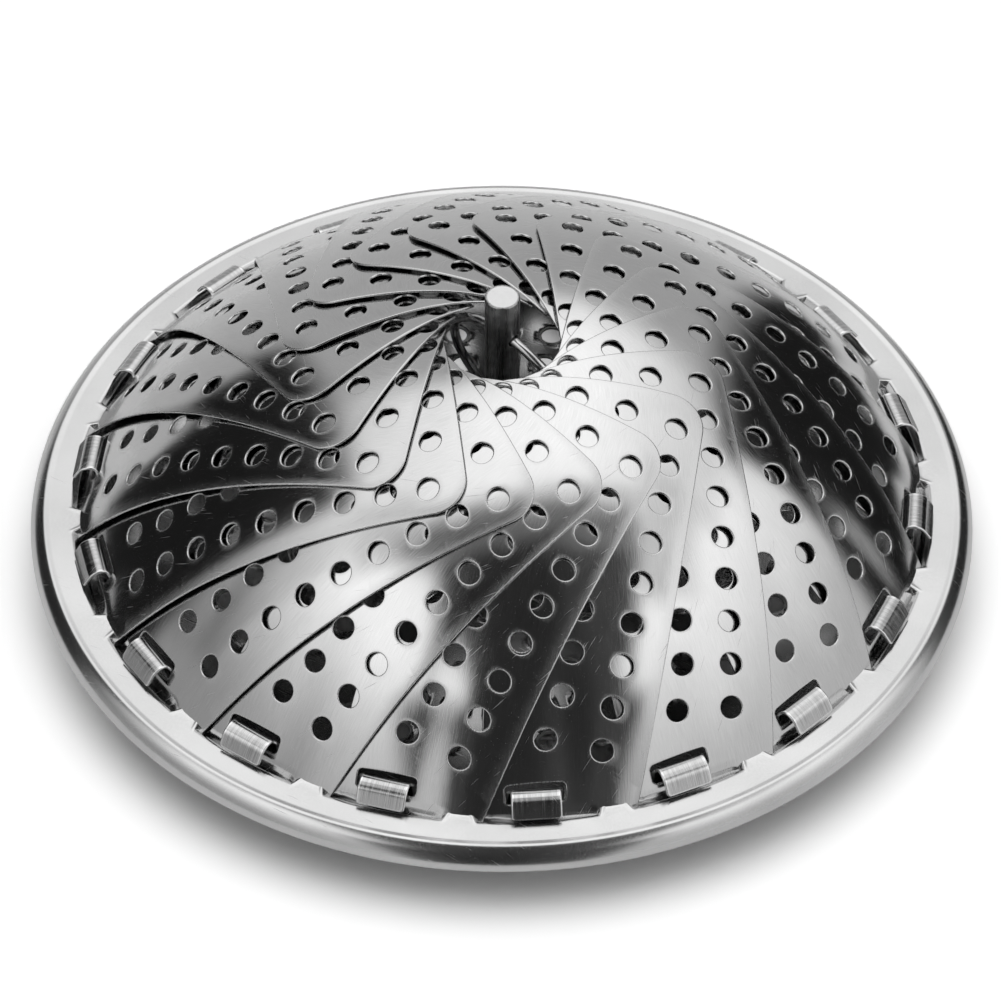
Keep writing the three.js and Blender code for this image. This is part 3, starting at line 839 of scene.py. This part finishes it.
dishShape = turned(drape(dishPattern(dish), dishSurface), frontBearing)
makePiece("dish", dishShape, "dish", "root", "base_dish")
print("dish made with", len(dishShape["faces"]), "faces")

# Hooks

hook = {
    "sheet": 0.5,
    "half": 3.8,
    "stemHalf": 4.35,
    "arch": 1.5,
    "shift": 0.62,
    "rise": 1.83,
    "topSlope": 22,
    "top": 0.5,
    "slope": 56,
    "face": 2.05,
    "round": 0.6,
    "sink": 0.2,
    "softness": 0.2,
    "archSteps": (44, 16),
    "alongSteps": (3, 25),
    "roundSteps": 4,
    "columns": 17,
    "rimSteps": 6,
}
hookCentre = np.array([hingeRadius - hook["shift"], hingeHeight + hook["rise"]])
stemRadius = hookCentre[0] - hook["arch"]
stemFoot = np.interp(stemRadius, dishLine[:, 0], dishLine[:, 1]) + dish["plateHeight"] - hook["sink"]
topRun = polar(hook["top"], math.radians(-hook["topSlope"]))
turnsAt = (180, 90 - hook["topSlope"], 90 - hook["slope"])
hookArc = np.concatenate([
    arc(hookCentre, hook["arch"], *turnsAt[:2], hook["archSteps"][0]),
    arc(hookCentre + topRun, hook["arch"], *turnsAt[1:], hook["archSteps"][1])])
hookEnd = hookArc[-1] + polar(hook["face"], math.radians(-hook["slope"]))
hookDistance, hookLine, hookReach = softened(
    [(stemRadius, stemFoot), *hookArc, hookEnd], hook["softness"])


# The hook's path in the plane across the hinge: up the stem, over in two bends with a short
# slanted top between them, and straight down in front of the petal's strip
def hookSurface(across, along):
    outward, height = follow(along, hookDistance, hookLine)
    return asPoints(outward, across, height)


# The flat hook: a strip whose free end has rounded corners, wider at its stem
def hookPattern(s):
    half = s["sheet"] / 2
    corner = s["round"] - half
    bendStart, roundStart = hookReach[1], hookReach[-1] - half - corner
    roundEnd = roundStart + corner * np.sin(np.linspace(0, np.pi / 2, s["roundSteps"] + 1)[1:])
    along = np.concatenate([staged([half, bendStart, roundStart], s["alongSteps"]), roundEnd])
    past = np.clip(along - roundStart, 0, corner)
    width = s["half"] - half - corner + np.sqrt(corner ** 2 - past ** 2)
    shoulder = 1 - smooth(along, bendStart + s["arch"] / 4, bendStart + s["arch"])
    width = width + (s["stemHalf"] - s["half"]) * shoulder
    grid = asPoints(np.linspace(-1, 1, s["columns"])[:, None] * width, along)
    return sheetPattern([(grid[None], False)], [gridOutline(grid)], half, s["rimSteps"])


flatHook = drape(hookPattern(hook), hookSurface)
hooks = joined([turned(flatHook, frontBearing + k * sector) for k in range(petalCount)])
makePiece("petal_hooks", hooks, "hook", "root")
print("hooks made")

# Turned and drawn pieces

# A line with rounded corners and the normals on its right. Each corner becomes an arc whose
# centre lies on the corner's bisector, at the radius over the cosine of half the bend.
def roundedLine(corners, radius, steps, closed):
    corners = np.asarray(corners, float)
    ahead = np.roll(corners, -1, 0) - corners
    facing = np.arctan2(ahead[:, 1], ahead[:, 0])
    bend = np.angle(np.exp(1j * (facing - np.roll(facing, 1))))[:, None]
    share = np.arange(steps + 1) / steps
    angle = np.roll(facing, 1)[:, None] - np.pi / 2 + bend * share
    side = np.sign(bend)[..., None]
    normals = polar(1, angle)
    toCentre = polar(1, angle[:, :1] + bend / 2) / np.cos(bend / 2)[..., None]
    points = corners[:, None] + side * radius * (normals - toCentre)
    if closed:
        return points.reshape(-1, 2), normals.reshape(-1, 2)
    ends = [normals[1, :1], normals[-2, -1:]]
    points = np.concatenate([corners[:1], points[1:-1].reshape(-1, 2), corners[-1:]])
    return points, np.concatenate([ends[0], normals[1:-1].reshape(-1, 2), ends[1]])


# A line of (radius, height) turned round the height axis
def turnedPatch(points, normals, columns, mark=0.0):
    angle = -evenAngles(columns)
    carried = (upright(pairs[:, :1], angle, pairs[:, 1:]) for pairs in (points, normals))
    return *carried, mark, True


# A disc that closes a turned line: a square grid whose rows and columns are bent to circles
def discPatch(radius, height, columns, side, mark=0.0):
    even = np.linspace(-1, 1, columns // 4 + 1)
    u, v = np.meshgrid(even, even, indexing="ij")
    wide = np.abs(u) >= np.abs(v)
    reach = np.where(wide, u, v)
    share = np.where(wide, v, u) / np.where(reach == 0, 1, reach)
    angle = np.where(wide, share * np.pi / 4, np.pi / 2 - share * np.pi / 4)
    points = upright(radius * reach, angle, height)
    if side < 0:
        points = points.transpose(1, 0, 2)
    return points, np.broadcast_to([0.0, 0.0, side], points.shape), mark, False


# Patches of points and normals as one shape, welded where their points meet
def welded(patches):
    start = np.cumsum([0] + [patch[0][..., 0].size for patch in patches])
    points = np.concatenate([patch[0].reshape(-1, 3) for patch in patches])
    normals = np.concatenate([patch[1].reshape(-1, 3) for patch in patches])
    marks = np.concatenate([np.full(patch[0][..., 0].size, patch[2]) for patch in patches])
    faces = np.concatenate([
        gridQuads(*patch[0].shape[:2], patch[3]) + offset for patch, offset in zip(patches, start)])
    first, back = weld(points)
    return {
        "points": points[first],
        "normals": normals[first],
        "marks": marks[first],
        "faces": back[faces],
        "flat": points[first][:, [0, 2]],
    }


# Post

post = {
    "radius": 2.7,
    "stub": 1.9,
    "collar": 4.8,
    "collarHeight": 0.9,
    "seat": 0.15,
    "chamfer": 0.12,
    "drill": 1.1,
    "lip": 0.12,
    "round": 0.12,
    "band": 2.05,
    "columns": 96,
    "mouthShares": (0, 0.2, 0.5, 1),
    "lipSteps": 5,
    "roundSteps": 4,
}
postLow, postHigh = (corner.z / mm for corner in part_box("lift_post"))
plateTop = dish["plateHeight"] + dish["sheet"] / 2
ringBearing = bearing(joints["lift_ring_swing"]["axis"])
ringHeight = joints["lift_ring_swing"]["pos_m"][2] / mm


# The shaft's wall round one mouth of the cross hole, the mouth's rounded lip, and half the bore.
# On the wall a point lies at the arc sine of its place across over the shaft's radius.
def mouthPatches(s, opposite):
    count, bends = s["columns"], s["lipSteps"] + 1
    radius, drill, lip = s["radius"], s["drill"], s["lip"]
    wide, high = radius * np.pi / 4, s["band"]
    loop = closedLoop([(-wide, -high), (wide, -high), (wide, high), (-wide, high)], count // 4)
    circle = polar(1, np.radians(-135) + evenAngles(count))
    mouth = (drill + lip) * circle
    ring = asPoints(radius * np.arcsin(mouth[:, 0] / radius), mouth[:, 1])
    flat = ringsBetween(ring[None], loop[None], s["mouthShares"])[0]
    turn = flat[..., 0] / radius
    wall, wallNormal = upright(radius, turn, flat[..., 1]), upright(1, turn, 0)

    bend = np.linspace(0, np.pi / 2, bends)[:, None, None]
    reach = (drill + lip * (1 - np.sin(bend))) * circle
    depth = np.sqrt(radius ** 2 - reach[..., :1] ** 2) - lip * (1 - np.cos(bend))
    lipPoints = np.concatenate([depth, reach], -1)
    inward = np.concatenate([0 * circle[:, :1], -circle], -1)
    lipNormal = wallNormal[0] * np.cos(bend) + inward * np.sin(bend)
    bore = np.linspace(1, 0, bends)[:, None, None] * np.array([1, 0, 0]) * lipPoints[-1]
    bore = bore + np.array([0, 1, 1]) * lipPoints[-1]
    patches = [
        (wall, wallNormal, 0.0),
        (lipPoints[::-1], lipNormal[::-1], 1.0),
        (bore[::-1], np.broadcast_to(inward, bore.shape), 0.0),
    ]
    flip = np.array([-1, -1, 1]) if opposite else np.ones(3)
    lift = np.array([0, 0, ringHeight])
    return [(points * flip + lift, normals * flip, mark, True) for points, normals, mark in patches]


# The post: a stub, a collar and a shaft, with plain wall between the two mouths
def postShape(s):
    count, quarter = s["columns"], s["columns"] // 4
    low, high = ringHeight - s["band"], ringHeight + s["band"]
    collarFoot = plateTop + s["seat"]
    collarHead = collarFoot + s["collarHeight"]
    lower = [
        (s["stub"] - s["round"], postLow), (s["stub"], postLow + s["round"]), (s["stub"], collarFoot),
        (s["collar"], collarFoot), (s["collar"], collarHead), (s["radius"], collarHead), (s["radius"], low)]
    upper = [
        (s["radius"], high), (s["radius"], postHigh - s["chamfer"]),
        (s["radius"] - s["chamfer"], postHigh), (s["radius"] - s["chamfer"] - s["round"], postHigh)]
    walls = [
        turnedPatch(*roundedLine(line, s["round"] / 2, s["roundSteps"], False), count)
        for line in (lower, upper)]
    turn = np.radians(45) + np.arange(quarter + 1) / quarter * np.pi / 2
    plain = upright(s["radius"], turn, np.linspace(high, low, quarter + 1)[:, None])
    plainNormal = np.broadcast_to(upright(1, turn, 0), plain.shape)
    back = np.array([-1, -1, 1])
    shape = welded([
        discPatch(lower[0][0], postLow, count, -1),
        walls[0],
        (plain, plainNormal, 0.0, False),
        (plain * back, plainNormal * back, 0.0, False),
        *mouthPatches(s, False),
        *mouthPatches(s, True),
        walls[1],
        discPatch(upper[-1][0], postHigh, count, 1, 1.0),
    ])
    return turned(shape, ringBearing)


makePiece("post", postShape(post), "post", "root", "lift_post")

# Lift ring

liftRing = {"radius": 13.5, "wire": 0.75, "tilt": 15, "sides": 24, "steps": 240}


# A torus: a circle carried round a larger circle that hangs from the cross hole and leans
def ringShape(s):
    around, about = evenAngles(s["steps"])[:, None], evenAngles(s["sides"])
    tilt = math.radians(s["tilt"])
    sideways = np.array([1, 0, 0])
    down = np.array([0, math.sin(tilt), -math.cos(tilt)])
    through = np.cross(sideways, down)
    spoke = np.sin(around)[..., None] * sideways - np.cos(around)[..., None] * down
    normals = np.cos(about)[None, :, None] * spoke + np.sin(about)[None, :, None] * through
    points = s["radius"] * (down + spoke) + s["wire"] * normals
    points, normals = (np.concatenate([part, part[:1]]) for part in (points, normals))
    shape = welded([(points + np.array([0, 0, ringHeight]), normals, 0.0, True)])
    return turned(shape, ringBearing)


makePiece("ring", ringShape(liftRing), "wire", "lift_ring", "lift_ring")

# Washer and nut under the plate

fixing = {
    "hole": 2.2,
    "washer": 4.6,
    "washerSheet": 0.6,
    "washerColumns": 96,
    "nut": 3.9,
    "nutHeight": 2.6,
    "nutSteps": 16,
    "edge": 0.14,
    "chamfer": 0.35,
    "ringShares": (0, 0.2, 0.8, 1),
    "rimSteps": 8,
}


# A flat plate with a round hole, whose outline is a polygon of equal sides
def holedPlate(s, radius, sides, steps, thickness, edge, height):
    outline = closedLoop(polar(radius - edge, evenAngles(sides)), steps)
    ring = polar(s["hole"] + edge, evenAngles(len(outline)))
    patches = [(ringsBetween(ring[None], outline[None], s["ringShares"]), True)]
    flat = sheetPattern(patches, [outline, ring[::-1]], thickness / 2, s["rimSteps"], edge)
    return drape(flat, lambda x, y: asPoints(x, y, height))


underPlate = dish["plateHeight"] - dish["sheet"] / 2 - post["seat"]
washer = holedPlate(
    fixing, fixing["washer"], fixing["washerColumns"], 1, fixing["washerSheet"],
    fixing["edge"], underPlate - fixing["washerSheet"] / 2)
nut = holedPlate(
    fixing, fixing["nut"], 6, fixing["nutSteps"], fixing["nutHeight"],
    fixing["chamfer"], postLow + fixing["nutHeight"] / 2)
makePiece("washer", washer, "fixing", "root", "post_washer")
makePiece("nut", nut, "fixing", "root", "post_nut")
print("post, ring, washer and nut made")

# Legs with their brackets and pins

leg = {
    "width": 7,
    "sheet": 1.2,
    "reach": 26,
    "foot": 1.2,
    "rootInset": 0.9,
    "barrel": 1.5,
    "bore": 0.85,
    "edge": 0.2,
    "pin": 0.7,
    "pinHead": 1.0,
    "headHeight": 0.5,
    "ear": 0.8,
    "earGap": 0.3,
    "pinGap": 0.15,
    "earHalf": 3.0,
    "softness": 0.9,
    "stripEdge": 0.3,
    "bendRun": 1,
    "stripSteps": (11, 13),
    "stripColumns": 15,
    "barrelColumns": 64,
    "pinColumns": 32,
    "roundSteps": 4,
    "rimSteps": 8,
    "foldRun": 1.6,
    "foldSoftness": 0.7,
    "foldSteps": (6, 6, 6),
    "earSteps": 8,
    "earShares": (0, 0.3, 0.7, 1),
}


# The strip's path outwards and upwards: flat under the dish, with its end turned up as a foot
def stripShape(s, pivotHeight):
    half, edge = s["sheet"] / 2, s["stripEdge"]
    level, end = half - pivotHeight, half - s["reach"]
    corners = [(-s["rootInset"], level), (end, level), (end, level + s["foot"])]
    distance, line, reach = softened(corners, s["softness"])
    along = staged([edge, reach[1] - s["bendRun"], distance[-1] - edge], s["stripSteps"])
    across = np.linspace(-1, 1, s["stripColumns"]) * (s["width"] / 2 - edge)
    grid = asPoints(across[:, None], along)

    def surface(across, along):
        out, height = follow(along, distance, line)
        return asPoints(out, -across, height)

    return drape(sheetPattern([(grid[None], False)], [gridOutline(grid)], half, s["rimSteps"], edge), surface)


# A shape that stands on its axis, laid along the pivot
def alongPivot(shape):
    return placed(shape, ((1, 0, 0), (0, 0, -1), (0, 1, 0)))


# The barrel: a closed line of (radius, distance along) turned round the pivot's axis
def barrelShape(s):
    half = s["width"] / 2
    corners = [(s["bore"], half), (s["bore"], -half), (s["barrel"], -half), (s["barrel"], half)]
    line = roundedLine(corners, s["edge"], s["roundSteps"], True)
    closedLine = (np.concatenate([part, part[:1]]) for part in line)
    return alongPivot(welded([turnedPatch(*closedLine, s["barrelColumns"])]))


# The pin, with a head at each end, closed by discs
def pinShape(s):
    half = s["width"] / 2 + s["earGap"] + s["ear"] + s["pinGap"]
    end, head, inset, columns = half + s["headHeight"], s["pinHead"], 2 * s["edge"], s["pinColumns"]
    corners = [
        (head - inset, -end), (head, -end), (head, -half), (s["pin"], -half),
        (s["pin"], half), (head, half), (head, end), (head - inset, end)]
    return alongPivot(welded([
        discPatch(head - inset, -end, columns, -1),
        turnedPatch(*roundedLine(corners, s["edge"] / 2, s["roundSteps"], False), columns),
        discPatch(head - inset, end, columns, 1),
    ]))


# The bracket: a sheet folded down at both sides, with a hole for the pin in each ear
def bracketShape(s, pivotHeight):
    half = s["ear"] / 2
    side, level = s["width"] / 2 + s["earGap"] + half, underPlate - half
    distance, line, _ = softened([(-side, 0), (-side, level), (side, level), (side, 0)], s["foldSoftness"])
    tip, wide = s["barrel"] - half, s["earHalf"] - half
    top, length, steps = level - half, distance[-1], s["earSteps"]
    loop = closedLoop([(-tip, half), (tip, half), (wide, top), (-wide, top)], steps)
    ring = holeRing(loop[None], np.array([[0, pivotHeight]]), s["bore"] + half / 2)[0]
    farLoop, farRing = (np.array([0, length]) - part for part in (loop, ring))
    folds = top + s["foldRun"], length - top - s["foldRun"]
    rows = staged([top, *folds, length - top], s["foldSteps"])
    base = asPoints(np.linspace(-wide, wide, steps + 1)[:, None], rows)
    ears = [
        (ringsBetween(inner[None], outer[None], s["earShares"]), True)
        for inner, outer in ((ring, loop), (farRing, farLoop))]
    outline = np.concatenate([
        loop[:2 * steps], base[-1, :-1], farLoop[3 * steps:], farLoop[:2 * steps],
        base[0, :0:-1], loop[3 * steps:]])

    def surface(out, along):
        across, height = follow(along, distance, line)
        return asPoints(out, across, height - pivotHeight)

    edges = [outline, ring[::-1], farRing[::-1]]
    return drape(sheetPattern([*ears, (base[None], False)], edges, half, s["rimSteps"], half / 2), surface)


for name in sorted(body for body in frame["bodies"] if body.startswith("leg_")):
    pivot = np.array(joints[name + "_fold"]["pos_m"]) / mm
    number, height = name.split("_")[1], pivot[2]
    out = np.append(polar(1, bearing(pivot)), 0)
    axes = (out, np.cross((0, 0, 1), out), (0, 0, 1))
    legShape = joined([stripShape(leg, height), barrelShape(leg)])
    makePiece(name + "_strip", placed(legShape, axes, pivot), "leg", name, name)
    bracket, pin = (placed(shape, axes, pivot) for shape in (bracketShape(leg, height), pinShape(leg)))
    makePiece("bracket_" + number, bracket, "fixing", "root", "leg_bracket_" + number)
    makePiece("pin_" + number, pin, "fixing", "root", "leg_pin_" + number)
print("legs made")

# Studio

studio = {
    "floorSize": 8.0,
    "floorTone": 0.8,
    "floorGain": 1.7,
    "mirroredShare": 0.1,
    "mirroredReach": (0.12, 0.18),
    # Painted light: a glow on the floor under the bottom's holes, seen by the camera only
    "paintedGlow": 0.45,
    "paintedGlowPlace": (0, 0.042, 0),
    "paintedGlowReach": (0.008, 0.016),
    # Falls: from one angle to another, and mostly from one tone to another
    "lampFall": (30, 84, 1.5, 0.7),
    "leftFall": (-80, -34, 0.58, 1.0),
    "asideFall": (8, 40, 1.0, 0.72),
    "wallFall": (42, 58),
    "wallBack": (12, 30),
    "wallTone": (70, 115, 0.52, 0.68),
    "dullFall": (14, 46, 2.6, 0.01),
    # Zones: left and near side, width, depth, softness of the sides, and the tone
    "overhead": (-80, -2, 121, 60, 4),
    "seams": ((25, -20, 10, 28, 4, 0.8), (-36, -8, 12, 14, 4, 0.8)),
    "corners": ((41, 19, 93, 84, 4, 0.014), (-128, 10, 92, 53, 4, 0.014)),
    "brink": (-26, -10, 50, 9, 4, 0.22),
    "front": (
        (-21, -60, 45, 52, 4, 0.065), (-30, -150, 62, 108, 5, 0.065), (-15, -150, 24, 141, 4, 0.028)),
}


# The floor is pale. What the camera sees of it is raised to white where no shadow falls, and
# has a painted glow, seen by the camera only, under the bottom's holes at the back. Its underside
# lets the light through, and in the metal it ends at a distance, past which the room's lower half shows.
def makeFloor(s):
    half = s["floorSize"] / 2
    mesh = bpy.data.meshes.new("floor")
    corners = [(-half, -half, 0), (half, -half, 0), (half, half, 0), (-half, half, 0)]
    mesh.from_pydata(corners, [], [(0, 1, 2, 3)])
    floor = bpy.data.objects.new("floor", mesh)
    bpy.context.scene.collection.objects.link(floor)
    material = bpy.data.materials.new("floor")
    material.use_nodes = True
    tree = material.node_tree
    tree.nodes.remove(tree.nodes["Principled BSDF"])
    put, node, maths, _, step, mixed, greyOf = treeTools(tree)
    seen = tree.nodes.new("ShaderNodeLightPath").outputs
    mirrored = maths("MAXIMUM", seen["Is Glossy Ray"], seen["Is Transmission Ray"])
    raised = maths("MAXIMUM", seen["Is Camera Ray"], maths("MULTIPLY", mirrored, s["mirroredShare"]))
    tone = mixed(raised, s["floorTone"], s["floorTone"] * s["floorGain"])
    place = node("TexCoord", "Object")
    reach = node("VectorMath", "Value", {0: place}, operation="LENGTH")
    beyond = maths("MULTIPLY", mirrored, step(reach, *s["mirroredReach"]))
    # Painted light: a camera-only glow round a spot on the floor under the bottom's holes
    spot = node("VectorMath", "Value", {0: place, 1: s["paintedGlowPlace"]}, operation="DISTANCE")
    paintedGlow = maths("MULTIPLY", seen["Is Camera Ray"], step(spot, *s["paintedGlowReach"], s["paintedGlow"], 0.0))
    lit = node("AddShader", "Shader", {
        0: node("BsdfDiffuse", "BSDF", {"Color": greyOf(tone)}),
        1: node("Emission", "Emission", {"Strength": paintedGlow}),
    })
    surface = node("MixShader", "Shader", {
        0: maths("MAXIMUM", node("NewGeometry", "Backfacing"), beyond),
        1: lit,
        2: node("BsdfTransparent", "BSDF"),
    })
    put(surface, tree.nodes["Material Output"].inputs["Surface"])
    mesh.materials.append(material)


# The room that the metal mirrors, by direction. Angle from straight up and bearing make a flat
# map in degrees, on which soft steps mark the lamps: one overhead reaching back, one on each
# side of the front, a pale wall behind, and dark corners between them.
def makeWorld(s):
    world = bpy.data.worlds.new("studio")
    bpy.context.scene.world = world
    world.use_nodes = True
    tree = world.node_tree
    put, node, maths, _, step, mixed, _ = treeTools(tree)
    parts = tree.nodes.new("ShaderNodeSeparateXYZ")
    put(node("TexCoord", "Generated"), parts.inputs["Vector"])
    x, y, z = (parts.outputs[key] for key in "XYZ")
    fall = maths("DEGREES", maths("ARCCOSINE", z))
    spin = maths("ARCTAN2", y, x)
    right = maths("MULTIPLY", fall, maths("COSINE", spin))
    back = maths("MULTIPLY", fall, maths("SINE", spin))

    # A rectangle on the map, with soft sides: the product of four steps
    def zone(left, near, width, depth, soft):
        sides = (
            (right, left, soft), (right, left + width, -soft),
            (back, near, soft), (back, near + depth, -soft))
        rises = [step(value, side - reach, side + reach) for value, side, reach in sides]
        return maths("MULTIPLY", maths("MULTIPLY", *rises[:2]), maths("MULTIPLY", *rises[2:]))

    # Lamps overhead and at the sides, weaker towards the horizon and on the left
    light = maths("MULTIPLY", step(fall, *s["lampFall"]), step(right, *s["leftFall"]))

    # The overhead lamp falls off to its sides, and seams part it from the side lamps
    aside = step(maths("ABSOLUTE", right), *s["asideFall"])
    light = mixed(zone(*s["overhead"]), light, maths("MULTIPLY", light, aside))
    for *place, tone in s["seams"]:
        light = mixed(zone(*place), light, tone)

    # Pale wall behind, lighter towards the floor
    behind = maths("MULTIPLY", step(fall, *s["wallFall"]), step(back, *s["wallBack"]))
    light = mixed(behind, light, step(fall, *s["wallTone"]))

    # Dark corners behind on the right and on the left. Dark room in front: a brink under the
    # overhead lamp, then darker, wider towards the horizon.
    for *place, tone in (*s["corners"], s["brink"], *s["front"]):
        light = mixed(zone(*place), light, tone)

    # Dull surfaces are lit from above, and hardly from around
    seen = tree.nodes.new("ShaderNodeLightPath").outputs
    light = mixed(seen["Is Diffuse Ray"], light, step(fall, *s["dullFall"]))
    background = tree.nodes["Background"].inputs
    put((1, 1, 1, 1), background["Color"])
    put(mixed(seen["Is Camera Ray"], light, 1.0), background["Strength"])


makeFloor(studio)
makeWorld(studio)
bpy.context.scene.view_settings.view_transform = "Standard"
print("studio made")

print("scene ready")
